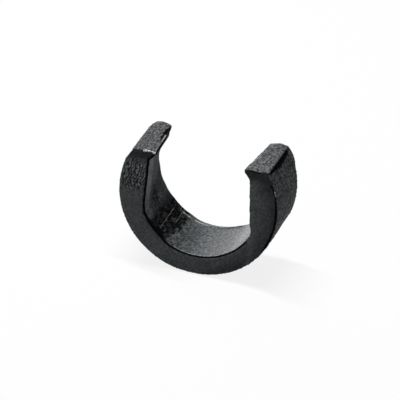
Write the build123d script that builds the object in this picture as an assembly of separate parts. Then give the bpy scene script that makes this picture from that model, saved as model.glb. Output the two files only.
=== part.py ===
"""A one-piece C-clip: a short band bent round a tube seat, with a mouth that snaps over the tube.

Frame: the origin is on the axis of the tube seat, halfway along it. +Y runs along that axis, from
the gripping end to the plain end, +Z points out of the mouth, and +X across it. The clip rests on
the round back of its band. All lengths are in millimetres and all angles in degrees.
"""
from build123d import *
import os
from math import radians, sqrt, tan

# Band
outside_radius = 15.0      # outside of the band
bore_radius = 11.2         # round part of the tube seat
band_length = 12.4         # along the seat's axis, from one end face to the other

# Tips, measured at the gripping end
tip_height = 8.1           # outer corner of each tip face above the seat's axis
tip_inner_height = 7.8     # inner corner of each tip face above the seat's axis
tip_crown = 0.25           # rise of each tip face above the chord between its corners

# Grip flats, one on each side of the seat
flat_gap = 19.8            # between the flats, level with the seat's axis
flat_lean = 3.2            # each flat leans in towards the mouth
flat_land = 3.4            # stretch of flat that runs along the axis, from the gripping end
flat_taper = 9.0           # behind its land, each flat runs out into the bore at this angle

# Mouth
mouth_gap = 16.9           # between the noses, at the gripping end and the tips' inner corners
mouth_lean = 6.0           # each nose leans in towards its tip
mouth_taper = 4.0          # the mouth opens out towards the plain end
nose_length = 8.2          # each nose runs this far from the gripping end
nose_relief = 0.3          # behind its nose, each tip stands back by this much more

# Rounded edges
nose_radius = 0.4          # over the top of each nose
outer_edge_radius = 0.35   # outside the tips and round the outside of both end faces
bore_edge_radius = 0.4     # round the bore's edge at the plain end

grip_end = -band_length / 2            # where the gripping end face lies along Y
plain_end = band_length / 2            # where the plain end face lies along Y
reach = 2 * outside_radius             # cutting blocks run this far, past every face


def along_band(outline):
    """An outline drawn across the band, in X and Z, extruded from one end face to the other."""
    return extrude(Plane.XZ * outline, band_length / 2, both=True)


def side_plane(x, y, z, lean, taper):
    """The plane of a face on the +X side that holds the point (x, y, z) and looks off the axis."""
    return Plane((x, y, z), z_dir=(1, -tan(radians(taper)), tan(radians(lean))))


def grip_flat(disc):
    """The +X grip flat: what the disc holds beyond both the land and the tapered run-out."""
    land_end = grip_end + flat_land
    land = side_plane(flat_gap / 2, land_end, 0, flat_lean, 0)
    run_out = side_plane(flat_gap / 2, land_end, 0, flat_lean, flat_taper)
    return split(split(disc, bisect_by=land), bisect_by=run_out)


def beside_nose():
    """The space beside the +X nose, from just past the middle, drawn across the gripping end."""
    slope = tan(radians(mouth_lean))
    foot = (mouth_gap / 2 + slope * tip_inner_height, 0)
    top = (mouth_gap / 2 - slope * (reach - tip_inner_height), reach)
    past_middle = -mouth_gap / 4
    return make_face(Polyline(foot, top, (past_middle, reach), (past_middle, 0), foot))


def over_tip():
    """The space over the crowned +X tip face, drawn across the gripping end."""
    inner = Vector(mouth_gap / 2, tip_inner_height)
    outer = Vector(sqrt(outside_radius**2 - tip_height**2), tip_height)
    chord = outer - inner
    crown_radius = (chord.length**2 / 4 + tip_crown**2) / (2 * tip_crown)
    down = chord.rotate(Axis.Z, -90).normalized()
    centre = (inner + outer) / 2 + down * (crown_radius - tip_crown)
    below_corners = tip_inner_height - 4 * tip_crown
    above = Pos(0, below_corners) * Rectangle(reach, reach, align=Align.MIN)
    return above - Pos(centre.X, centre.Y) * Circle(crown_radius)


def run_back(outline):
    """An outline drawn across the gripping end, run along the band with the mouth's taper."""
    opening = tan(radians(mouth_taper))
    start = Plane.XZ.offset(band_length - grip_end)
    shifted = start * Pos(-opening * band_length, 0) * outline
    return extrude(shifted, 3 * band_length, dir=(opening, 1, 0))


def mouth_side():
    """The +X side of the mouth: past the rounded nose and, further out, past what is behind it."""
    outline = beside_nose() + over_tip()
    nose = outline.vertices().sort_by_distance((mouth_gap / 2, tip_inner_height))[0]
    relief = run_back(Pos(nose_relief, 0) * beside_nose())
    nose_end = Plane.XZ.offset(-grip_end - nose_length)
    return run_back(fillet(nose, nose_radius)) + split(relief, bisect_by=nose_end, keep=Keep.BOTTOM)


def bore_edge():
    """What rounding takes off the bore's edge at the plain end, all the way round."""
    corner = Pos(bore_radius, plain_end) * Rectangle(2 * bore_edge_radius, 2 * bore_edge_radius)
    centre = Pos(bore_radius + bore_edge_radius, plain_end - bore_edge_radius)
    return revolve(corner - centre * Circle(bore_edge_radius), Axis.Y)


def round_outside(clip):
    """The clip with the outline of both its ends and the outer edges of its tips rounded."""
    outside = clip.faces().filter_by(GeomType.CYLINDER).sort_by(Axis.Z)[0]
    return fillet(outside.edges(), outer_edge_radius)


def c_clip():
    """The whole clip, as one solid."""
    disc = along_band(Circle(outside_radius))
    flat = grip_flat(disc)
    seat = disc - along_band(Circle(bore_radius)) + flat + mirror(flat, about=Plane.YZ)
    side = mouth_side()
    return round_outside(seat - side - mirror(side, about=Plane.YZ)) - bore_edge()


clip = c_clip()
os.makedirs("parts", exist_ok=True)
export_step(clip, "parts/c_clip.step")
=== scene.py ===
# %% [markdown]
# # A black plastic C-clip
#
# The clip is one moulded piece: a short band bent round a tube, with two tips that snap over it.
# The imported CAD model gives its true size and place, so everything below starts from that frame.
# This lesson covers the clip with a fine, even skin, works small faults into that skin, mixes a
# dark plastic that changes from one surface to the next, and lights it as a small studio would.

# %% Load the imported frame
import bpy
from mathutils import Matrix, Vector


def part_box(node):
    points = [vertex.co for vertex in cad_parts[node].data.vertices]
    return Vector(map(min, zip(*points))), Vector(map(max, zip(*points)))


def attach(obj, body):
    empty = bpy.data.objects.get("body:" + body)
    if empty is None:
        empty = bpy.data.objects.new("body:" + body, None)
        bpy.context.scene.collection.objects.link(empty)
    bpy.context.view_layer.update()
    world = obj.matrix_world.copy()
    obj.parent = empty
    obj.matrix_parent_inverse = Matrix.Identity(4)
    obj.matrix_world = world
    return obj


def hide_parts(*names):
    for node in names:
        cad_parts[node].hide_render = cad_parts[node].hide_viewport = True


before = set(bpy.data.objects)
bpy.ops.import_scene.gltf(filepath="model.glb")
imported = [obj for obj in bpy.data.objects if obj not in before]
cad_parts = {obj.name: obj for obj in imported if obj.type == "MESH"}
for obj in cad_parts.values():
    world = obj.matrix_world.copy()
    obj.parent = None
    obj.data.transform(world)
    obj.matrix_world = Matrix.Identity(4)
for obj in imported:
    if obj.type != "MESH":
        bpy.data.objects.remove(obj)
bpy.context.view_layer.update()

# %% [markdown]
# ## Units and places
#
# Blender works in metres, and the clip is only 30 mm wide. Its shape could be worked out in metres
# too, but a maker reads millimetres off a caliper, so the numbers below are millimetres and become
# metres at the last moment. Angles are in degrees. The axis of the tube seat is the Y axis, the
# gripping end is the end face at the lowest Y, and the mouth opens upwards, along Z.

# %% Units and places that the frame gives
import math

import bmesh
import bpy
from mathutils import Matrix, Vector, noise

MM = 0.001
low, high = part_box("c_clip")
outside_radius = high.x / MM
grip_end = low.y / MM
plain_end = high.y / MM
bottom = low.z / MM
tip_top = high.z / MM
print(f"outside radius {outside_radius:.1f} mm, band {plain_end - grip_end:.1f} mm long")
print(f"bottom at {bottom:.2f} mm, tips up to {tip_top:.2f} mm")

# %% [markdown]
# ## An even skin
#
# A CAD mesh is a shell of long, loose triangles: fine for a flat colour, useless for wear. The band
# could be modelled again with a spin and a few bevels, but then it would have to be fitted to the
# CAD model. Instead a copy of that model is merged into one closed skin, and a voxel remesh covers
# it with small even quads, fine enough to carry dents, torn edges and pebbles as real shape. A
# light smoothing takes away the steps that the voxels leave. The CAD node stays as it is, and the
# new piece stands for it.

# %% Copy the CAD solid and merge it
merge_distance = 0.0005 * MM


def merged_copy(node, name):
    """A new object with the node's shape, as one closed skin."""
    mesh = node.data.copy()
    mesh.name = name
    mesh.materials.clear()
    skin = bmesh.new()
    skin.from_mesh(mesh)
    bmesh.ops.remove_doubles(skin, verts=skin.verts, dist=merge_distance)
    skin.to_mesh(mesh)
    skin.free()
    piece = bpy.data.objects.new(name, mesh)
    bpy.context.scene.collection.objects.link(piece)
    return piece


clip = merged_copy(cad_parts["c_clip"], "moulded_clip")
print(f"merged copy: {len(clip.data.vertices)} corners")

# %% Cover it with even quads
quad_size = 0.16 * MM


def apply_modifiers(piece):
    """Turns what the piece's modifiers show into its own mesh."""
    shown = piece.evaluated_get(bpy.context.evaluated_depsgraph_get())
    mesh = bpy.data.meshes.new_from_object(shown)
    piece.modifiers.clear()
    piece.data = mesh


remesh = clip.modifiers.new("even skin", "REMESH")
remesh.mode = "VOXEL"
remesh.voxel_size = quad_size
settle = clip.modifiers.new("take off the steps", "SMOOTH")
settle.factor = 0.5
settle.iterations = 2
apply_modifiers(clip)
for face in clip.data.polygons:
    face.use_smooth = True
print(f"even skin: {len(clip.data.polygons)} quads")

# %% [markdown]
# ## Tools for working the skin
#
# Dents and wear could be sculpted and painted by hand, but strokes are hard to repeat. Here every
# change is a small function of a place on the clip: it says how far that place moves, or how much
# of some finish it has. Soft curves are all they need. An ease climbs from 0 to 1 and a fade falls
# back, a hump rises to 1 at its centre, and a plateau stays at 1 for a while. Soft noise makes
# them uneven, and because it depends only on the place, the clip comes out the same every time.

# %% Soft curves
def ease(start, end, value):
    """0 up to start, 1 from end on, and a soft curve between them."""
    share = min(max((value - start) / (end - start), 0.0), 1.0)
    return share * share * (3 - 2 * share)


def fade(start, end, value):
    """1 up to start, 0 from end on, and a soft curve between them."""
    return 1 - ease(start, end, value)


def hump(centre, half_width, value):
    """1 at the centre, falling softly to 0 at half_width on either side."""
    return fade(0, half_width, abs(value - centre))


def plateau(foot, brow, far_brow, far_foot, value):
    """1 from brow to far_brow, falling softly to 0 at the foot on either side."""
    return ease(foot, brow, value) * fade(far_brow, far_foot, value)


print("an ease climbs softly:", [round(ease(0, 4, step), 2) for step in range(5)])

# %% Noise, angles and distances
def rough(place, size, seed=0):
    """Soft noise between -1 and 1, in lumps of about this many millimetres."""
    return noise.noise(place / size + Vector((seed, 2 * seed, 3 * seed)))


def around(place):
    """The angle round the seat, in degrees: 0 is +X, 90 the mouth, 180 -X and 270 the round back."""
    return math.degrees(math.atan2(place.z, place.x)) % 360


def radial(place):
    """The direction from the seat's axis out to this place."""
    return Vector((place.x, 0, place.z)).normalized()


def from_axis(place):
    """How far this place lies from the seat's axis."""
    return math.hypot(place.x, place.z)


def from_edge(place, radius, end):
    """How far this place lies from the round edge of this radius at this end of the band."""
    return math.hypot(from_axis(place) - radius, place.y - end)


print(f"the angle of the mouth is {around(Vector((0, 0, 1))):.0f} degrees")

# %% Functions that work on every point of the skin
def reshape(piece, move):
    """Moves every point of the piece by move(place, facing), in millimetres."""
    skin = bmesh.new()
    skin.from_mesh(piece.data)
    skin.normal_update()
    moves = [move(point.co / MM, point.normal.copy()) for point in skin.verts]
    for point, shift in zip(skin.verts, moves):
        point.co += shift * MM
    skin.to_mesh(piece.data)
    skin.free()
    print(f"{move.__name__}: {max(shift.length for shift in moves):.2f} mm at most")


def mark(piece, name, share):
    """Stores share(place, facing), between 0 and 1, on every point of the piece."""
    layer = piece.data.attributes.new(name, "FLOAT", "POINT")
    values = []
    for point in piece.data.vertices:
        values.append(min(max(share(point.co / MM, point.normal), 0.0), 1.0))
    layer.data.foreach_set("value", values)
    print(f"{name}: {sum(values) / len(values):.3f} on average over the skin")


print(f"{len(clip.data.vertices)} points to work on")

# %% [markdown]
# ## Which surface is which
#
# Each surface of a moulded part has its own finish, because each met the mould, the knife or the
# tube in its own way. The surfaces could be picked by hand as groups of points. Here they are told
# apart by the way they face, which needs no picking: the bore looks at the seat's axis, the outside
# looks away from it, the ends look along it, and the faces of the tips look up. The edge of the
# mouth runs as in the CAD model: it opens a little towards the plain end.

# %% Surfaces, as shares between 0 and 1
bore_radius = 11.2
mouth_half_gap = 8.45
mouth_taper = 0.07


def in_bore(place, facing):
    """Faces the seat's axis."""
    return ease(0.5, 0.8, -facing.dot(radial(place)))


def on_front(place, facing):
    """Lies on the end face at the gripping end."""
    return ease(0.6, 0.85, -facing.y)


def on_tip(place, facing):
    """Lies on the face of either tip, which looks out of the mouth."""
    return ease(0.55, 0.8, facing.z) * ease(7.0, 7.5, place.z)


def on_outside(place, facing):
    """Faces away from the seat's axis, on the round band."""
    return ease(0.6, 0.85, facing.dot(radial(place))) * (1 - on_tip(place, facing))


def mouth_edge(place):
    """How far this place lies outside the edge of the mouth, on its own side."""
    return abs(place.x) - mouth_half_gap - mouth_taper * (place.y - grip_end)


print(f"mouth: {2 * mouth_half_gap:.1f} mm wide at the gripping end")

# %% [markdown]
# ## Where the finish changes
#
# The tips were torn or cut from something, so their faces are grainy. The middle of the bore has
# been rubbed smooth by the tube, and beside the rubbed part, where the left tip's shadow falls, dirt
# and painted shade make it near black. The left of the gripping end is pebbled, like a part that
# left its mould too hot. All this could be painted by hand. Here each kind is a mark, a number that
# is stored on every point of the skin and that the material reads later. The marks come before the
# shaping, while the surfaces are easiest to tell apart, and they ride along as the points move.

# %% Grainy tips, pebbled patch and rubbed bore
def pebbled(place, facing):
    """A patch on the left of the gripping end."""
    patch = hump(-12.4, 3.4, place.x) * hump(2.8, 4.6, place.z)
    return on_front(place, facing) * ease(0.05, 0.45, patch)


def rubbed(place, facing):
    """The part of the bore that the tube polished, with a ragged edge on its left."""
    lumpy = fade(-3, 3, place.y)
    angle = around(place) + 2.5 * rough(place, 1.0, 3) + (1 + 6 * lumpy) * rough(place, 0.5, 4)
    start = 240 - 5 * lumpy
    return in_bore(place, facing) * plateau(start, start + 4, 338, 344, angle)


mark(clip, "torn", on_tip)
mark(clip, "hammered", on_outside)
mark(clip, "pebbled", pebbled)
mark(clip, "rubbed", rubbed)

# %% Sooty parts with painted shade, dull parts, and chalky parts with painted light and shade
def left_wall(place, facing, end):
    """The left wall of the bore, from the mouth down to this angle."""
    return in_bore(place, facing) * plateau(120, 140, end, end + 10, around(place))


def sooty_and_shaded(place, facing):
    """Black dirt with painted shade on the lower left of the bore, where the left tip's shadow
    falls, and a mottled patch above it.
    """
    angle = around(place) + 2.0 * rough(place, 1.0, 3)
    angle = angle + 4 * rough(place, 0.35, 31) * ease(222, 236, angle)
    start = 212.5 + 3 * ease(0, 5, place.y)
    end = 241 - 5 * fade(-4, 1, place.y)
    band = plateau(start, start + 7, end, end + 6, angle)
    patch = 2.0 * hump(-3.6, 3.8, place.z) * hump(0.4, 2.2, place.y) * ease(9, 10, -place.x)
    mottled = ease(-0.05, 0.2, rough(place, 0.42, 32))
    return in_bore(place, facing) * max(band, patch * mottled)


def dull(place, facing):
    """The back of the left wall, which no tube has polished."""
    return 0.9 * left_wall(place, facing, 206) * ease(grip_end + 2.4, grip_end + 4.6, place.y)


def chalky_with_painted_light(place, facing):
    """How pale the bare plastic has gone, with painted light and shade on the gripping end, the left
    wall and the outside.
    """
    # Painted shade: the gripping end is darker towards its right outer edge and towards its top.
    right_edge = ease(bore_radius, 14.6, from_axis(place)) * ease(-2, 5, place.x)
    near_top = ease(5.4, 6.9, place.z + 0.5 * rough(place, 1.5, 9))
    front = 0.58 * on_front(place, facing) * (1 - 0.8 * right_edge) * (1 - 0.85 * near_top)
    # Painted light: a paler strip on the gripping end beside the bore's right flat.
    strip = 0.2 * on_front(place, facing) * hump(10.3, 1.0, place.x) * (1 - near_top)
    # Painted light: the left wall of the bore is paler near the gripping end.
    wall = left_wall(place, facing, 208) * (0.4 + fade(grip_end + 2.0, grip_end + 3.6, place.y))
    # Painted reflection of the floor: the outside is paler low down.
    outside = 0.27 + 0.05 * fade(2, 6.5, place.z) + 0.36 * fade(-7, -1, place.z)
    outside = outside * on_outside(place, facing)
    return max(front, wall, outside) + strip + 0.16 * rough(place, 3.0, 8)


mark(clip, "sooty_and_shaded", sooty_and_shaded)
mark(clip, "dull", dull)
mark(clip, "chalky_with_painted_light", chalky_with_painted_light)

# %% [markdown]
# ## Scuffs, scratches and painted highlights
#
# Black plastic goes pale where it is chipped or scraped: at three chips on the right, and along the
# bore, where tubes were pushed in. Pale lines are also painted where edges catch the light: painted
# highlights on the ragged front of the left tip and its corner, on the lips over both noses, and on
# the bore's rims at both ends. A texture could paint such lines, but it wouldn't know where the
# edges are.
# Each place gets a small function of its own, and the mark takes the strongest of them. The
# scratches and the chips are listed once, because the shape needs them again.

# %% Scratches and chips, listed once
# A scratch has its angle in degrees, where it starts and ends along Y in mm, and its strength.
scratches = (
    (227.0, -4.9, 4.8, 1.0),
    (224.3, -4.4, 1.5, 0.5),
    (231.5, -2.6, 2.5, 0.6),
    (236.3, 0.8, 5.6, 0.9),
    (222.0, -2.5, 0.5, 0.5),
    (217.0, 0.5, 4.0, 0.45),
)
# A chip on the right outer edge has its height in mm, how pale it is, and its depth in mm.
chips = ((5.2, 0.6, 0.12), (4.5, 0.9, 0.2), (3.9, 0.5, 0.12))


def on_scratch(place, angle, start, end):
    """1 on the line of a scratch, which wanders a little."""
    wander = 0.8 * rough(Vector((angle, place.y, 0)), 1.5, 71)
    line = hump(angle + wander, 0.9, around(place))
    return line * plateau(start, start + 0.5, end - 0.5, end, place.y)


print(f"{len(scratches)} scratches and {len(chips)} chips")

# %% Painted highlights on both tips
def highlit_left_tip(place, facing):
    """Painted highlights on the ragged front edge of the left tip, its corner, and the lip over its
    nose.
    """
    if place.x > 0 or place.z < 7.2:
        return 0
    patchy = ease(-0.3, 0.1, rough(Vector((place.x, 0, 0)), 0.3, 11))
    ragged_end = grip_end + 0.26 + 0.16 * rough(place, 0.35, 12)
    front_edge = fade(grip_end + 0.05, ragged_end, place.y) * ease(7.72, 7.9, place.z)
    front_edge = front_edge * ease(-11.7, -11.2, place.x) * (0.3 + 0.7 * patchy)
    front_edge = front_edge * (0.3 + 0.7 * ease(-10.95, -10.6, place.x))
    corner = Vector((-8.8, grip_end + 0.1, 7.7))
    corner_spot = 0.8 * fade(0.1, 0.35, (place - corner).length)
    lip = hump(0.22, 0.3, mouth_edge(place)) * fade(2.0, 2.4, place.y) * ease(0.1, 0.5, facing.z)
    lip = lip * (0.1 + 0.24 * ease(-3.0, -0.5, place.y) + 0.08 * patchy)
    return max(front_edge, corner_spot, lip)


def highlit_right_lip(place, facing):
    """A painted highlight on the lip along the right nose, which slants away from the edge."""
    if place.x < 0 or place.z < 7.2:
        return 0
    lip = hump(0.35 + 0.1 * (place.y + 2), 0.26, mouth_edge(place))
    return 0.45 * lip * plateau(-4.5, -3.0, 0.2, 1.2, place.y)


up = Vector((0, 0, 1))
burr_middle = Vector((-10.2, grip_end, 7.9))
print(f"the scuff is {highlit_left_tip(burr_middle, up):.2f} strong in the middle of the burr")

# %% Chips, painted highlights on the rims, and scratches along the bore
def scuffed_chips(place, facing):
    """The chips on the outer edge below the right tip."""
    if place.x < 0 or place.z < 3.6:
        return 0
    amount = 0
    for height, pale, _ in chips:
        chip = Vector((14.45, grip_end + 0.15, height))
        amount = max(amount, pale * fade(0.15, 0.4, (place - chip).length))
    return amount


def highlit_rims(place, facing):
    """Painted highlights on the bore's rim at the gripping end, and on a stretch of its rim at the
    plain end.
    """
    angle = around(place)
    front_rim = 0.4 * hump(grip_end + 0.2, 0.35, place.y) * ease(244, 252, angle)
    far_rim = 0.5 * hump(5.5, 0.36, place.y) * ease(-0.7, 0.1, rough(place, 0.9, 14))
    far_rim = far_rim * plateau(229, 236, 258, 275, angle)
    return in_bore(place, facing) * max(front_rim, far_rim)


def scratched(place, facing):
    """The pale line of each scratch."""
    amount = 0
    for angle, start, end, strength in scratches:
        amount = max(amount, 0.42 * strength * on_scratch(place, angle, start, end))
    return amount * in_bore(place, facing)


def scuffed_and_highlit(place, facing):
    """The strongest of all the scuffs and painted highlights."""
    kinds = (highlit_left_tip, highlit_right_lip, scuffed_chips, highlit_rims, scratched)
    return max(kind(place, facing) for kind in kinds)


mark(clip, "scuffed_and_highlit", scuffed_and_highlit)

# %% [markdown]
# ## Painted shade in the fine corners
#
# Shade is painted into the colour as near-black lines: in the fine grooves along the front edges,
# under the overhang of the right tip, round the folded lip on the left nose, and at the lower left
# and the far edge of the bore. An ambient occlusion node could find corners by itself, but it would
# darken them all alike, and only some are painted dark. So each shaded corner is another small
# function, and a little noise makes its edges uneven.

# %% Lines that the painted shade and the grooves share
def uneven(place):
    """A small wobble for the edges of the painted shade, in millimetres."""
    return 0.06 * rough(place, 0.5, 21)


def along_round_edge(place):
    """1 along the round part of the bore's front edge, between its two flats."""
    return plateau(203, 205, 322, 332, around(place))


def along_left_flat(place):
    """1 along the front edge of the left flat."""
    return plateau(-5.1, -4.5, 6.4, 6.9, place.z)


def across_left_flat(place):
    """How far this place lies from the front edge of the left flat, which leans inwards."""
    return place.x + 10.05 - 0.05 * place.z


def across_under_nose(place):
    """How far this place lies from the slanting edge below the left nose."""
    return -place.x - 8.6 - 0.62 * (7.75 - place.z)


def step_width(place):
    """How wide the step behind the left lip is. It narrows towards the plain end."""
    return 0.78 - 0.1 * (place.y - 2)


print(f"the step behind the lip is {step_width(Vector((0, 2, 0))):.2f} mm wide where it starts")

# %% Painted shade along the front edges
def shade_on_round_edge(place, facing):
    """Thickest at the lower left."""
    thick = 0.29 + 0.18 * fade(225, 268, around(place))
    line = hump(bore_radius + 0.22 + uneven(place), thick, from_axis(place))
    return line * along_round_edge(place)


def shade_on_left_flat(place, facing):
    """A line along the left flat that thickens downwards."""
    thick = 0.4 + 0.1 * fade(-3, 3, place.z)
    line = hump(1.4 * uneven(place) - 0.03, thick, across_left_flat(place))
    return line * along_left_flat(place)


def shade_under_left_nose(place, facing):
    """A line that slants from the left flat up to the nose."""
    line = hump(-uneven(place), 0.4, across_under_nose(place))
    return line * plateau(6.0, 6.5, 7.3, 7.6, place.z)


def shade_on_right_edges(place, facing):
    """In the crease of the right outer edge, and under the front of the right tip."""
    if place.x <= 0:
        return 0
    thick = 0.44 - 0.14 * ease(0, 3, place.z)
    outer_edge = hump(14.74 + 1.6 * uneven(place), thick, from_axis(place))
    outer_edge = outer_edge * plateau(-9, -6, 5.6, 6.2, place.z)
    top_edge = hump(7.9 + uneven(place), 0.24, place.z) * plateau(8.9, 9.6, 11.0, 11.8, place.x)
    return max(outer_edge, top_edge * ease(0.2, 0.5, -facing.y))


def shade_in_front(place, facing):
    """All of these, on the gripping end and just round its edges."""
    if on_front(place, facing) == 0 and place.y >= grip_end + 0.3:
        return 0
    kinds = (shade_on_round_edge, shade_on_left_flat, shade_under_left_nose, shade_on_right_edges)
    return max(kind(place, facing) for kind in kinds)


to_front = Vector((0, -1, 0))
lower_left = Vector((-8.0, grip_end, -8.1))
print(f"the dirt is {shade_in_front(lower_left, to_front):.2f} thick at the lower left")

# %% Painted shade in the bore and under the right tip
def shade_in_bore(place, facing):
    """Painted shade, thick just behind the front edge at the lower left, and along a part of the far
    edge.
    """
    angle = around(place)
    reach = grip_end + 0.3 + 1.2 * hump(229, 9, angle) + 0.7 * rough(place, 0.45, 23)
    deep_shade = in_bore(place, facing) * fade(reach - 0.2, reach + 0.4, place.y)
    deep_shade = deep_shade * plateau(202, 205, 233, 239, angle)
    far_edge = hump(bore_radius + 0.2, 0.4, from_axis(place)) * ease(5.75, 5.95, place.y)
    far_edge = far_edge * plateau(196, 206, 245, 262, angle)
    return max(deep_shade, 0.8 * far_edge)


def shade_under_right_tip(place, facing):
    """Painted shade in the groove under the overhanging edge, widest in the middle."""
    if place.x <= 0:
        return 0
    middle = hump(0.5, 5.5, place.y)
    thick = 0.4 + 0.45 * middle + 0.25 * rough(place, 0.6, 22)
    groove = hump(7.55 - 0.25 * middle, thick, place.z) * ease(14.2, 14.6, from_axis(place))
    return 1.6 * groove * plateau(-5.9, -4.6, 4.6, 5.9, place.y)


to_right = Vector((1, 0, 0))
under_tip = Vector((12.9, 0.5, 7.3))
covered = min(shade_under_right_tip(under_tip, to_right), 1)
print(f"the dirt is {covered:.2f} thick under the right tip")

# %% Painted shade on the left nose, and the darkest painted shade of all
def shade_on_left_nose(place, facing):
    """Painted shade in the groove behind the lip, on the nose itself, and on the step behind the
    lip.
    """
    if place.x > 0:
        return 0
    edge = mouth_edge(place)
    groove = hump(0.55 + uneven(place), 0.3, edge) * ease(7.2, 7.5, place.z)
    groove = groove * plateau(-1.6, 0.2, 3.6, 4.4, place.y)
    nose = ease(0.6, 0.85, facing.x) * ease(6.7, 7.1, place.z) * fade(1.2, 1.6, edge)
    nose = nose * fade(3.0, 4.0, place.y)
    width = step_width(place)
    step = fade(width - 0.05, width + 0.1, edge + uneven(place)) * ease(1.9, 2.2, place.y)
    return max(groove, nose, step * ease(6.0, 6.8, place.z))


def painted_shade(place, facing):
    """The darkest of all the painted shade."""
    kinds = (shade_in_front, shade_in_bore, shade_under_right_tip, shade_on_left_nose)
    return max(kind(place, facing) for kind in kinds)


mark(clip, "painted_shade", painted_shade)

# %% [markdown]
# ## The two tips
#
# On a real clip the two tips never match. The left one is a little short, its back corner is
# rounded off, and a step is worn in behind the lip on its nose. The right one stands as high as
# the clip gets, with a sharp outer edge that overhangs a fine groove, and a nose that reaches
# further over the tube. Proportional editing would do this by hand. Each function below does the
# same: it moves the points near one spot, and softly less of those around it.

# %% Left tip
def settle_left_tip(place, facing):
    """Lowers the tip, most at the back of its nose, and swells that corner inwards."""
    if place.x > 0 or place.z < 4.5:
        return Vector()
    back = (place.y - grip_end) / (plain_end - grip_end)
    outer = ease(9.2, 11.2, -place.x)
    drop = (1 - outer) * (0.34 * back - 0.05) + outer * (0.22 - 0.08 * back)
    inner_corner = ease(3.6, 6.0, place.y) * fade(0.3, 1.4, mouth_edge(place))
    inner_corner = inner_corner * ease(6.2, 7.2, place.z)
    return Vector((0.14 * inner_corner, 0, -drop * ease(4.5, 7.8, place.z)))


def round_left_corner(place, facing):
    """Rounds off the outer corner at the plain end."""
    if place.x > 0 or place.z < 5:
        return Vector()
    corner = Vector((-12.6, plain_end))
    near = fade(0.2, 1.6, (place.xy - corner).length) * ease(5.0, 7.5, place.z)
    return Vector((0.22, -0.24, -0.05)) * near


def step_behind_lip(place, facing):
    """Sinks a step behind the lip on the nose."""
    if place.x > 0 or place.z < 6.6:
        return Vector()
    width = step_width(place)
    step = fade(width - 0.15, width + 0.1, mouth_edge(place))
    step = step * ease(1.8, 2.3, place.y) * ease(0.3, 0.6, facing.z)
    return Vector((0, 0, -0.4 * step))


reshape(clip, settle_left_tip)
reshape(clip, round_left_corner)
reshape(clip, step_behind_lip)

# %% Right tip
def lift_right_tip(place, facing):
    """Lifts the tip and swells its nose inwards."""
    if place.x < 0 or place.z < 6.5:
        return Vector()
    rise = ease(6.5, 7.9, place.z)
    front = fade(grip_end, 0, place.y)
    back = ease(0, plain_end, place.y)
    nose = fade(0.2, 1.2, abs(mouth_edge(place) - 0.55))
    outer = ease(11.2, 12.4, place.x)
    lift = front * (0.2 * nose + 0.14 * outer + 0.05) + back * (0.12 - 0.26 * outer)
    bulge = 0.24 + 0.08 * hump(-4.0, 2.2, place.y) + 0.06 * hump(-0.8, 2.8, place.y)
    inward = -bulge * fade(0.3, 1.6, mouth_edge(place))
    return Vector((inward * rise, 0, lift * rise))


def wave_front_edge(place, facing):
    """Lets the front edge of the tip's face dip in two places."""
    if place.x < 0 or place.z < 7.2:
        return Vector()
    near = fade(grip_end + 0.2, grip_end + 1.2, place.y) * ease(7.2, 7.9, place.z)
    dip = hump(9.1, 0.5, place.x) + 0.7 * hump(11.2, 0.9, place.x) + 0.4 * rough(place, 0.6, 34)
    return Vector((0, 0, -0.13 * near * max(dip, 0)))


reshape(clip, lift_right_tip)
reshape(clip, wave_front_edge)

# %% Edges of the right tip
def sharpen_right_edge(place, facing):
    """Pulls the outer edge of the tip's face out to a sharp line."""
    if place.x < 0 or place.z < 7:
        return Vector()
    edge = Vector((12.55, 8.05))
    near = fade(0.1, 0.6, (place.xz - edge).length) * fade(4.6, 5.7, place.y)
    return Vector((0.14, 0, 0.1)) * near


def round_right_corner(place, facing):
    """Rounds off the corner of the nose at the plain end."""
    if place.x < 0 or place.z < 6:
        return Vector()
    corner = math.hypot(mouth_edge(place) - 0.2, place.y - plain_end)
    return Vector((0, -0.2, -0.08)) * fade(0.2, 1.9, corner) * ease(6.0, 7.8, place.z)


def cut_under_right_edge(place, facing):
    """Cuts the groove under the sharp edge, widest in the middle."""
    if place.x < 0 or place.z < 6.5:
        return Vector()
    middle = hump(0.5, 5.5, place.y)
    groove = hump(7.56 - 0.2 * middle, 0.4 + 0.35 * middle, place.z)
    groove = groove * plateau(-5.9, -4.4, 4.4, 5.9, place.y)
    groove = groove * ease(0.5, 0.8, facing.dot(radial(place)))
    return -radial(place) * 0.3 * groove * (1 + 0.5 * rough(place, 0.8, 33))


reshape(clip, sharpen_right_edge)
reshape(clip, round_right_corner)
reshape(clip, cut_under_right_edge)

# %% [markdown]
# ## The long edges of the band
#
# The long edges of the band are not alike either. The far edge of the bore is thinned on the left
# and keeps a ridge of flash below that, where plastic crept between the halves of the mould. At
# the gripping end the edge swells inwards at the lower left, and fine grooves run along it. A bevel
# would make every edge the same, so each stretch gets its own soft move instead.

# %% Edges of the bore
def thin_far_edge(place, facing):
    """Thins the left of the band at the plain end, from the bore's side."""
    end_face = ease(0.3, 0.7, facing.y) * fade(12.0, 12.8, from_axis(place))
    inner = min(in_bore(place, facing) + end_face, 1)
    return radial(place) * 0.4 * inner * hump(172, 17, around(place)) * ease(2.0, 6.0, place.y)


def raise_flash(place, facing):
    """Raises the flash along the far edge, in a long low part and a short higher one."""
    angle = around(place)
    height = 0.3 * plateau(192, 207, 292, 306, angle) + 0.22 * plateau(207, 222, 243, 256, angle)
    return -radial(place) * height * fade(0.1, 0.7, from_edge(place, bore_radius, plain_end))


def swell_front_corner(place, facing):
    """Swells the bore inwards at the lower left of the gripping end."""
    inner = fade(11.4, 12.8, from_axis(place)) * fade(-5, 1, place.y)
    return -radial(place) * 0.38 * inner * plateau(194, 209, 228, 246, around(place))


reshape(clip, thin_far_edge)
reshape(clip, raise_flash)
reshape(clip, swell_front_corner)

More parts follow.
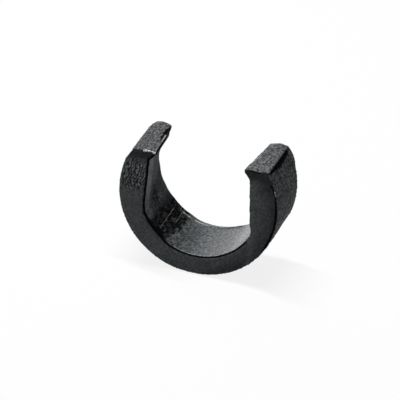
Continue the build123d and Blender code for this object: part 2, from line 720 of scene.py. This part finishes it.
# %% Grooves along the front edges
def groove_front_edges(place, facing):
    """Cuts the fine grooves that the painted shade sits in."""
    if place.y > grip_end + 1:
        return Vector()
    groove = 0.6 * hump(bore_radius + 0.22, 0.4, from_axis(place)) * along_round_edge(place)
    if place.x < 0:
        flat_edge = hump(0, 0.36, across_left_flat(place)) * along_left_flat(place)
        under_nose = hump(0, 0.45, across_under_nose(place)) * plateau(6.2, 6.6, 7.2, 7.6, place.z)
        groove = max(groove, flat_edge, under_nose)
    else:
        outer_edge = hump(14.72, 0.44, from_axis(place)) * plateau(-9, -6, 5.8, 6.6, place.z)
        groove = max(groove, outer_edge)
    return Vector((0, 0.3 * groove * ease(0.5, 0.9, -facing.y), 0))


reshape(clip, groove_front_edges)

# %% Crisp edges
def crisp_outer_edges(place, facing):
    """Sharpens parts of the outside's two edges, and dents it a little at the lower right."""
    angle = around(place)
    front = fade(0.1, 0.42, from_edge(place, outside_radius, grip_end))
    front = front * plateau(128, 140, 250, 266, angle) * (1 + 1.2 * hump(157, 10, angle))
    back = fade(0.1, 0.45, from_edge(place, outside_radius, plain_end))
    back = back * plateau(14, 22, 31, 34, angle)
    dent = 0.16 * hump(333, 10, angle) * ease(-1, 2, place.y)
    outward = 0.14 * front + (0.16 + 0.14 * ease(12, 24, angle)) * back - dent
    return radial(place) * outward + Vector((0, 0.1 * back - 0.06 * front, 0))


def crisp_left_tip(place, facing):
    """Sharpens the outer edge of the left tip's face."""
    if place.x > 0 or place.z < 7:
        return Vector()
    edge = Vector((-12.6, 7.95))
    near = fade(0.1, 0.7, (place.xz - edge).length) * fade(2.5, 5.5, place.y)
    return Vector((-0.2, 0, 0.05)) * near


def crisp_right_flat(place, facing):
    """Sharpens the front edge of the right flat, which leans in towards the mouth."""
    if place.x < 0 or place.z < -4 or place.z > 6.5:
        return Vector()
    flat = 9.9 - 0.056 * place.z
    near = fade(0.05, 0.5, math.hypot(place.x - flat, place.y - grip_end))
    return Vector((-0.16, -0.1, 0)) * near * plateau(-4, -2.5, 5.5, 6.5, place.z)


reshape(clip, crisp_outer_edges)
reshape(clip, crisp_left_tip)
reshape(clip, crisp_right_flat)

# %% [markdown]
# ## Lip, burr and chips
#
# A lip of plastic is folded over the left nose, with a groove behind it, and a ragged burr stands
# along the front of the left tip, where a blade or a tear left it. Three chips lie on the outer
# edge below the right tip, and a crease runs down from them. Thin sheets laid over the clip could
# stand for the lip and the burr, but they would leave gaps, so the skin itself is drawn out.

# %% Lip and burr on the left tip
def fold_left_lip(place, facing):
    """Pushes a lip out over the nose and sinks an uneven groove behind it."""
    if place.x > 0 or place.z < 6.8:
        return Vector()
    edge = mouth_edge(place)
    lip = hump(0.15, 0.42, edge) * fade(1.8, 2.3, place.y)
    groove = hump(0.62, 0.3, edge) * plateau(-2.6, -0.8, 2.0, 2.6, place.y)
    groove = groove * (0.6 + 0.6 * rough(place, 0.5, 31))
    return Vector((0.12 * lip, 0, 0.05 * lip - 0.2 * groove))


def raise_burr(place, facing):
    """Raises a ragged burr along the front edge."""
    if place.x > 0 or place.z < 7:
        return Vector()
    edge = fade(grip_end + 0.1, grip_end + 0.4, place.y) * ease(0.1, 0.5, facing.z)
    ragged_height = 0.1 * max(0, 0.55 + 1.2 * rough(place, 0.45, 41))
    return Vector((0, 0, ragged_height * edge * hump(-10.2, 2.4, place.x)))


reshape(clip, fold_left_lip)
reshape(clip, raise_burr)

# %% Chips and crease on the right outer edge
edge_radius = 14.85


def chip_right_edge(place, facing):
    """Pushes each chip inwards and back."""
    push = Vector()
    for height, _, depth in chips:
        chip = Vector((math.sqrt(edge_radius ** 2 - height ** 2), grip_end + 0.1, height))
        push += Vector((-0.7, 0.7, 0)) * depth * fade(0.1, 0.42, (place - chip).length)
    return push


def crease_right_edge(place, facing):
    """Presses an uneven crease into the edge."""
    if place.x < 0 or abs(place.z) > 9:
        return Vector()
    near = fade(0.05, 0.3, from_edge(place, edge_radius, grip_end + 0.15))
    near = near * plateau(-9, -6, 5.8, 6.6, place.z) * (0.7 + 0.6 * rough(place, 0.6, 35))
    return (Vector((0, 1, 0)) - radial(place)) * 0.1 * near


reshape(clip, chip_right_edge)
reshape(clip, crease_right_edge)

# %% [markdown]
# ## Grain, pebbles and scratches
#
# Small relief comes last, so that it lies on the finished shape. The grain on the tips is coarse,
# the pebbles are worm-like ridges, the outside is gently hammered, and the unrubbed part of the
# bore is lumpy. Bump in the material could fake all of it, but the outline and the mesh itself
# would stay smooth, so each kind pushes the skin along the way it faces. The same heights are kept
# as a mark, which the colour uses to paint shade into the hollows and highlight onto the high spots.

# %% Kinds of relief
def tip_grain(place):
    """Coarse crumbs, as a tear leaves them."""
    return 0.4 * rough(place, 0.4, 53) + 0.75 * rough(place, 0.27, 54)


def pebbles(place):
    """Narrow ridges that wind along the band like worms."""
    wander = 0.7 * rough(place, 1.1, 55) + 0.3 * rough(place, 0.5, 56)
    return math.sin(math.tau * (from_axis(place) / 0.56 + 1.3 * wander))


def hammering(place):
    """Shallow dents close together, a little longer along the axis."""
    place = Vector((place.x, 0.7 * place.y, place.z))
    return 0.35 * rough(place, 0.6, 58) + 0.95 * rough(place, 0.3, 59)


def bore_lumps(place):
    """Blisters of two sizes."""
    return 0.6 * rough(place, 0.75, 60) + 0.8 * rough(place, 0.34, 61)


def worn_grain(place):
    """What the tube left of the grain."""
    return rough(place, 0.4, 64)


def unrubbed(place):
    """How lumpy the left part of the bore is."""
    front = fade(-3, 3, place.y)
    left = fade(238, 250, around(place) - 8 * front + (4 + 8 * front) * rough(place, 0.8, 3))
    lumpy = 0.25 + 0.75 * ease(197, 213, around(place) + 6 * rough(place, 1.5, 5))
    return left * lumpy * fade(4.6, 5.6, place.y)


tip_heights = [tip_grain(point.co / MM) for point in clip.data.vertices if point.co.z > 7.5 * MM]
print(f"grain on the tips runs from {min(tip_heights):.2f} to {max(tip_heights):.2f}")

# %% Keep the heights as a mark and work them into the skin
def relief_shading(place, facing):
    """0 in the hollows of the relief and 1 on its high spots, for painted shade and highlight."""
    pocks = 0.5 + 1.1 * hump(243, 9, around(place)) * fade(-1, 4, place.y)
    height = 0.7 * on_tip(place, facing) * tip_grain(place)
    height += 0.2 * on_front(place, facing) * rough(place, 0.5, 63)
    height += 1.2 * pebbled(place, facing) * pebbles(place)
    height += on_outside(place, facing) * hammering(place)
    height += in_bore(place, facing) * unrubbed(place) * bore_lumps(place)
    height += pocks * rubbed(place, facing) * worn_grain(place)
    return 0.5 + 0.5 * height


def work_relief(place, facing):
    """Mostly cuts into flat faces, because these already touch the CAD box."""
    height = 0.012 * (rough(place, 1.3, 51) - 0.7) + 0.006 * (rough(place, 0.5, 52) - 0.7)
    height += 0.06 * on_tip(place, facing) * ease(0.7, 0.95, facing.z) * (tip_grain(place) - 0.6)
    height += 0.06 * pebbled(place, facing) * (pebbles(place) - 1)
    height += 0.1 * on_outside(place, facing) * (hammering(place) + 0.05)
    height += 0.1 * in_bore(place, facing) * unrubbed(place) * bore_lumps(place)
    height += 0.025 * in_bore(place, facing) * worn_grain(place)
    return facing * height


mark(clip, "relief_shading", relief_shading)
reshape(clip, work_relief)

# %% Scratches along the bore
def scratch_bore(place, facing):
    """Raises the fine ridge that each scratch threw up."""
    height = 0
    for angle, start, end, strength in scratches:
        height += 0.06 * strength * on_scratch(place, angle, start, end)
    return -radial(place) * height * in_bore(place, facing)


reshape(clip, scratch_bore)

# %% [markdown]
# ## Keep the size
#
# A finish must not make a part bigger, or it won't fit where the CAD model says it does. Smaller
# moves above would do, but then every one of them would need its own limit. Moving each point that
# has left the CAD box back to the box settles it once. Then the clip is tied to the frame: it rides
# on the CAD body and stands for the CAD node.

# %% Keep it inside the CAD box
def stay_inside(place, facing):
    """Brings a point that lies outside the box back to its side."""
    inside = Vector((
        min(max(place.x, -outside_radius), outside_radius),
        min(max(place.y, grip_end), plain_end),
        min(max(place.z, bottom), tip_top),
    ))
    return inside - place


reshape(clip, stay_inside)

# %% Tie it to the frame
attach(clip, "root")
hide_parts("c_clip")
print(f"{clip.name}: {len(clip.data.polygons)} quads, and it stands for the CAD node c_clip")

# %% [markdown]
# ## Black plastic
#
# Black plastic is never black: it is a very dark grey that mostly shows what it reflects. Image
# textures could give it its wear, but they need a flat map of the skin, and they blur up close.
# This material is made of shader nodes alone. It starts from a dark grey and changes colour,
# roughness and bump wherever the skin is marked. Its patterns are laid out in the clip's own
# coordinates, scaled to millimetres, so they stay put whichever way the clip is turned.

# %% A new material
plastic = bpy.data.materials.new("black moulded plastic")
plastic.use_nodes = True
nodes = plastic.node_tree.nodes
links = plastic.node_tree.links
shader = nodes["Principled BSDF"]
shader.inputs["IOR"].default_value = 1.5
shader.inputs["Specular IOR Level"].default_value = 0.15
clip.data.materials.append(plastic)
print("new material:", plastic.name)

# %% Noise on the clip's own coordinates
def own_place(scale, stretch):
    """The clip's own coordinates, this many to a millimetre, stretched where a number is below 1."""
    place = nodes.new("ShaderNodeTexCoord")
    fit = nodes.new("ShaderNodeMapping")
    fit.inputs["Scale"].default_value = [scale / MM * number for number in stretch]
    links.new(place.outputs["Object"], fit.inputs["Vector"])
    return fit.outputs["Vector"]


def grain(scale, detail=3.0, stretch=(1, 1, 1)):
    """Noise with this many lumps to a millimetre. More detail adds finer lumps."""
    node = nodes.new("ShaderNodeTexNoise")
    node.inputs["Scale"].default_value = 1
    node.inputs["Detail"].default_value = detail
    links.new(own_place(scale, stretch), node.inputs["Vector"])
    return node.outputs["Fac"]


def spread(source, low_in, high_in, low_out=0.0, high_out=1.0):
    """Stretches a range of the source onto another range."""
    node = nodes.new("ShaderNodeMapRange")
    links.new(source, node.inputs["Value"])
    node.inputs["From Min"].default_value = low_in
    node.inputs["From Max"].default_value = high_in
    node.inputs["To Min"].default_value = low_out
    node.inputs["To Max"].default_value = high_out
    return node.outputs["Result"]


drawn_out = (1, 0.6, 1)
speckle = spread(grain(2.9, detail=1, stretch=drawn_out), 0.38, 0.64)
pitted = spread(grain(2.4, detail=1, stretch=drawn_out), 0.36, 0.5)
blotches = spread(grain(1.3, detail=2, stretch=drawn_out), 0.44, 0.64)
painted_glints = spread(grain(2.5, detail=1), 0.66, 0.72)
cloudy = spread(grain(1.8, detail=4), 0.35, 0.65)
print(f"patterns of noise: {len(nodes)} nodes so far")

# %% Threads for the soot in the painted shade
def webbing(scale, stretch):
    """How far a place lies from the walls between crumpled cells, this many to a millimetre."""
    place = own_place(scale, stretch)
    crumple = nodes.new("ShaderNodeTexNoise")
    crumple.inputs["Scale"].default_value = 1.5
    links.new(place, crumple.inputs["Vector"])
    shifted = nodes.new("ShaderNodeVectorMath")
    shifted.operation = "ADD"
    links.new(place, shifted.inputs[0])
    links.new(crumple.outputs["Color"], shifted.inputs[1])
    cells = nodes.new("ShaderNodeTexVoronoi")
    cells.feature = "DISTANCE_TO_EDGE"
    cells.inputs["Scale"].default_value = 1
    links.new(shifted.outputs["Vector"], cells.inputs["Vector"])
    return cells.outputs["Distance"]


threads = spread(webbing(2.3, stretch=(1, 0.4, 1)), 0.02, 0.15, 1, 0)
print(f"with the threads: {len(nodes)} nodes")

# %% Mixing one thing into another
def feed(socket, source):
    """Gives an input a number or colour, or links it to an output."""
    if isinstance(source, bpy.types.NodeSocket):
        links.new(source, socket)
    else:
        socket.default_value = source


def blend(factor, first, second, colour=False):
    """First where the factor is 0 and second where it is 1."""
    node = nodes.new("ShaderNodeMix")
    node.data_type = "RGBA" if colour else "FLOAT"
    ends = [socket for socket in node.inputs if socket.enabled and socket.name in "AB"]
    feed(node.inputs[0], factor)
    feed(ends[0], first)
    feed(ends[1], second)
    return [socket for socket in node.outputs if socket.enabled][0]


flecks = blend(blotches, 0.0, threads)
print(f"with the flecks: {len(nodes)} nodes")

# %% Marks with ragged edges
def marked(name):
    """The mark of this name on the skin, as a socket."""
    node = nodes.new("ShaderNodeAttribute")
    node.attribute_name = name
    return node.outputs["Fac"]


def ragged(name, size, amount):
    """The mark of this name, broken up along its edges by noise."""
    add = nodes.new("ShaderNodeMath")
    add.operation = "MULTIPLY_ADD"
    links.new(grain(size), add.inputs[0])
    add.inputs[1].default_value = amount
    links.new(marked(name), add.inputs[2])
    middle = 0.35 + amount / 2
    crisp = spread(add.outputs[0], middle - 0.15, middle + 0.15)
    strength = nodes.new("ShaderNodeMath")
    strength.operation = "MULTIPLY"
    links.new(crisp, strength.inputs[0])
    links.new(spread(marked(name), 0, 0.7), strength.inputs[1])
    return strength.outputs[0]


shade = ragged("painted_shade", size=3.0, amount=0.4)
scuff_and_highlight = ragged("scuffed_and_highlit", size=3.4, amount=0.9)
print(f"with dirt and scuffs: {len(nodes)} nodes")

# %% [markdown]
# ## Colour, gloss and bump
#
# Each finish has its own grey. Bare plastic is dark and goes paler where it is chalky, and that mark
# also paints light and shade on it; the rubbed bore is polished to a mid grey, and the sooty part is
# almost black with pale flecks, as dirt and painted shade. A colour ramp over one noise would be
# quicker, but it would put the same look on every surface. So one finish is laid over another, in
# the order in which they came about, and scuffs with painted highlights and the painted shade come
# last.

# %% Colour of each finish
def grey(value, cool=1.0):
    """A grey, slightly blue unless cool is 0."""
    return (value, value * (1 + 0.08 * cool), value * (1 + 0.14 * cool), 1)


# The chalky mark carries painted light and shade as well as the paleness of the plastic.
chalk_and_painted_light = blend(marked("chalky_with_painted_light"), grey(0.021), grey(0.13), colour=True)
polish = blend(cloudy, grey(0.084), grey(0.112), colour=True)
# Near-black soot colour, which also paints the shade of the left tip in the bore.
soot_and_shade = blend(flecks, grey(0.0005), grey(0.1), colour=True)
crumbs = blend(cloudy, grey(0.08, 0.7), grey(0.102, 0.7), colour=True)
colour = chalk_and_painted_light
for finish, tone in (("rubbed", polish), ("dull", grey(0.1)), ("sooty_and_shaded", soot_and_shade), ("torn", crumbs)):
    colour = blend(marked(finish), colour, tone, colour=True)
print(f"with their colours: {len(nodes)} nodes")

# %% Light and dark within each finish
def scaled(source, factor):
    """A colour made darker or lighter by a factor."""
    node = nodes.new("ShaderNodeVectorMath")
    node.operation = "SCALE"
    links.new(source, node.inputs[0])
    feed(node.inputs["Scale"], factor)
    return node.outputs["Vector"]


contrast = 0.35
for finish, amount in (("rubbed", 0.5), ("pebbled", 1.1), ("torn", 1.1), ("hammered", 0.9)):
    contrast = blend(marked(finish), contrast, amount)
# Painted shade in the hollows of the relief and painted highlight on its high spots.
colour = scaled(colour, spread(marked("relief_shading"), 0.2, 0.8, 0.2, 1.8))
colour = scaled(colour, blend(contrast, 1.0, spread(speckle, 0, 1, 0.3, 1.7)))
colour = scaled(colour, blend(marked("hammered"), 1.0, spread(pitted, 0, 1, 0.55, 1.2)))
# Painted glints: sparse bright flecks on the pebbled patch.
colour = scaled(colour, blend(marked("pebbled"), 1.0, spread(painted_glints, 0, 1, 1, 2.5)))
# Pale scuffs and scratches, and painted highlights on edges, lips and rims.
colour = blend(scuff_and_highlight, colour, grey(0.8, 0), colour=True)
# Painted shade: near black in the grooves, under the overhangs and at the lower left of the bore.
colour = blend(shade, colour, grey(0.001, 0), colour=True)
links.new(colour, shader.inputs["Base Color"])
print(f"with light, dark, scuffs and dirt: {len(nodes)} nodes")

# %% Gloss
gloss = spread(grain(0.8), 0.3, 0.7, 0.46, 0.6)
shines = (("rubbed", 0.25), ("torn", 0.5), ("hammered", 0.62), ("dull", 0.95), ("sooty_and_shaded", 1.0))
for finish, roughness in shines:
    gloss = blend(marked(finish), gloss, roughness)
gloss = blend(shade, gloss, 1.0)
links.new(gloss, shader.inputs["Roughness"])
print("roughness:", ", ".join(f"{finish} {roughness}" for finish, roughness in shines))

# %% Fine bump
bump_strength = 0.5
for finish, amount in (("torn", 1.0), ("hammered", 1.0), ("rubbed", 0.25)):
    bump_strength = blend(marked(finish), bump_strength, amount)
bump = nodes.new("ShaderNodeBump")
bump.inputs["Distance"].default_value = 0.05 * MM
links.new(speckle, bump.inputs["Height"])
links.new(bump_strength, bump.inputs["Strength"])
links.new(bump.outputs["Normal"], shader.inputs["Normal"])
print(f"plastic: {len(nodes)} nodes in all")

# %% [markdown]
# ## Floor and backdrop
#
# A studio stands a small part on a sheet of white paper that fills the view. More light would turn
# the paper white, but it would wash out the part as well. Instead the camera's own rays see the
# sheet mostly as plain white and a little of it as lit paper, which keeps a soft shadow under the
# clip. All other rays meet light grey paper. The world behind it is white for the camera too, and
# nearly dark for the rest, so that the lamps alone shape the clip.

# %% Floor
floor_size = 3.0

sheet = bmesh.new()
bmesh.ops.create_grid(sheet, x_segments=1, y_segments=1, size=floor_size / 2)
bmesh.ops.translate(sheet, verts=sheet.verts, vec=(0, 0, low.z))
floor = bpy.data.objects.new("floor", bpy.data.meshes.new("floor"))
sheet.to_mesh(floor.data)
sheet.free()
bpy.context.scene.collection.objects.link(floor)
print(f"floor: {floor_size} m wide, at {low.z / MM:.1f} mm")

# %% One grey for the camera and one for the rest
def for_camera(tree, others, camera):
    """One grey for the camera's own rays, and another one for all others."""
    rays = tree.nodes.new("ShaderNodeLightPath")
    tone = tree.nodes.new("ShaderNodeMix")
    tone.data_type = "RGBA"
    tone.inputs["A"].default_value = (others, others, others, 1)
    tone.inputs["B"].default_value = (camera, camera, camera, 1)
    tree.links.new(rays.outputs["Is Camera Ray"], tone.inputs["Factor"])
    return tone.outputs["Result"]


world = bpy.data.worlds.new("studio")
world.use_nodes = True
air = world.node_tree
air.links.new(for_camera(air, others=0.1, camera=1.0), air.nodes["Background"].inputs["Color"])
bpy.context.scene.world = world
print(f"world {world.name}: {len(air.nodes)} nodes")

# %% White paper
def lit_white(tree, white_share):
    """A paper that the camera sees as plain white by this share."""
    tree.nodes.clear()
    output = tree.nodes.new("ShaderNodeOutputMaterial")
    white = tree.nodes.new("ShaderNodeEmission")
    matt = tree.nodes.new("ShaderNodeBsdfDiffuse")
    rays = tree.nodes.new("ShaderNodeLightPath")
    share = tree.nodes.new("ShaderNodeMath")
    share.operation = "MULTIPLY"
    share.inputs[1].default_value = white_share
    mix = tree.nodes.new("ShaderNodeMixShader")
    tree.links.new(for_camera(tree, others=0.6, camera=0.93), matt.inputs["Color"])
    tree.links.new(rays.outputs["Is Camera Ray"], share.inputs[0])
    tree.links.new(share.outputs[0], mix.inputs[0])
    tree.links.new(matt.outputs[0], mix.inputs[1])
    tree.links.new(white.outputs[0], mix.inputs[2])
    tree.links.new(mix.outputs[0], output.inputs[0])


paper = bpy.data.materials.new("white paper")
paper.use_nodes = True
lit_white(paper.node_tree, white_share=0.85)
floor.data.materials.append(paper)
print(f"{paper.name}: {len(paper.node_tree.nodes)} nodes")

# %% [markdown]
# ## Lamps
#
# Black plastic shows its shape by what it mirrors, so it is lit with large soft shapes and not with
# bare bulbs. A long narrow softbox hangs over the clip, a little to its left, so that the left tip
# throws its shadow down the bore. A big card stands behind it on the left, and the surfaces that
# look up mirror it at a low angle. A smaller card lies on the floor there, for the right side of
# the bore, which looks down at it.

# %% Softbox and cards
def softbox(name, place, aim, width, depth, radiance):
    """A rectangular lamp of this size and radiance, aimed at a point."""
    lamp = bpy.data.lights.new(name, "AREA")
    lamp.shape = "RECTANGLE"
    lamp.size = width
    lamp.size_y = depth
    lamp.energy = math.pi * width * depth * radiance
    holder = bpy.data.objects.new(name, lamp)
    holder.location = place
    holder.rotation_euler = (Vector(aim) - Vector(place)).to_track_quat("-Z", "Y").to_euler()
    holder.visible_camera = False
    bpy.context.scene.collection.objects.link(holder)
    print(f"{name}: {width} by {depth} m, {lamp.energy:.2f} W")


just_above_floor = low.z + 0.3 * MM
softbox(
    "key softbox",
    place=(-0.086, 0.03, 0.5),
    aim=(0, 0, 0),
    width=0.025,
    depth=0.35,
    radiance=95,
)
softbox(
    "back card",
    place=(-0.26, 0.36, 0.10),
    aim=(0, 0, 0.02),
    width=0.42,
    depth=0.30,
    radiance=1.2,
)
softbox(
    "floor card",
    place=(-0.055, 0.065, just_above_floor),
    aim=(-0.055, 0.065, 1),
    width=0.1,
    depth=0.1,
    radiance=1.2,
)

# %% [markdown]
# ## Camera
#
# A small part is best seen from afar through a long lens, which keeps its lines almost parallel. A
# short lens close by would swell the nearer tip. The camera stands a metre away, to the right of
# the seat's axis and above it, and looks at the middle of the gripping end. The clip leans a little
# on its round back in that view, so the camera is turned by as much.

# %% Where the camera stands
azimuth = math.radians(18.39)
elevation = math.radians(26.57)
lean = math.radians(3.1)
camera_distance = 1.0
aim_right = 0.38
aim_up = 0.11

level = math.cos(elevation)
away = Vector((math.sin(azimuth) * level, -math.cos(azimuth) * level, math.sin(elevation)))
across = Vector((math.cos(azimuth), math.sin(azimuth), 0))
turn = Matrix((across, away.cross(across), away)).transposed()
turn = Matrix.Rotation(-lean, 3, "Y") @ turn
across, upright, away = turn.transposed()
target = Vector((0, grip_end, 0)) + aim_right * across + aim_up * upright
stand = target * MM + away * camera_distance
print("camera at", [round(number, 3) for number in stand], "metres")

# %% The camera and its lens
focal_length = 499.4
film_width = 36

lens = bpy.data.cameras.new("camera")
lens.sensor_width = film_width
lens.lens = focal_length
lens.clip_start = 0.01
camera = bpy.data.objects.new("camera", lens)
camera.matrix_world = Matrix.Translation(stand) @ turn.to_4x4()
bpy.context.scene.collection.objects.link(camera)
bpy.context.scene.camera = camera
bpy.context.scene.view_settings.view_transform = "Standard"
print(f"the lens sees {film_width / focal_length * camera_distance / MM:.0f} mm across at the clip")
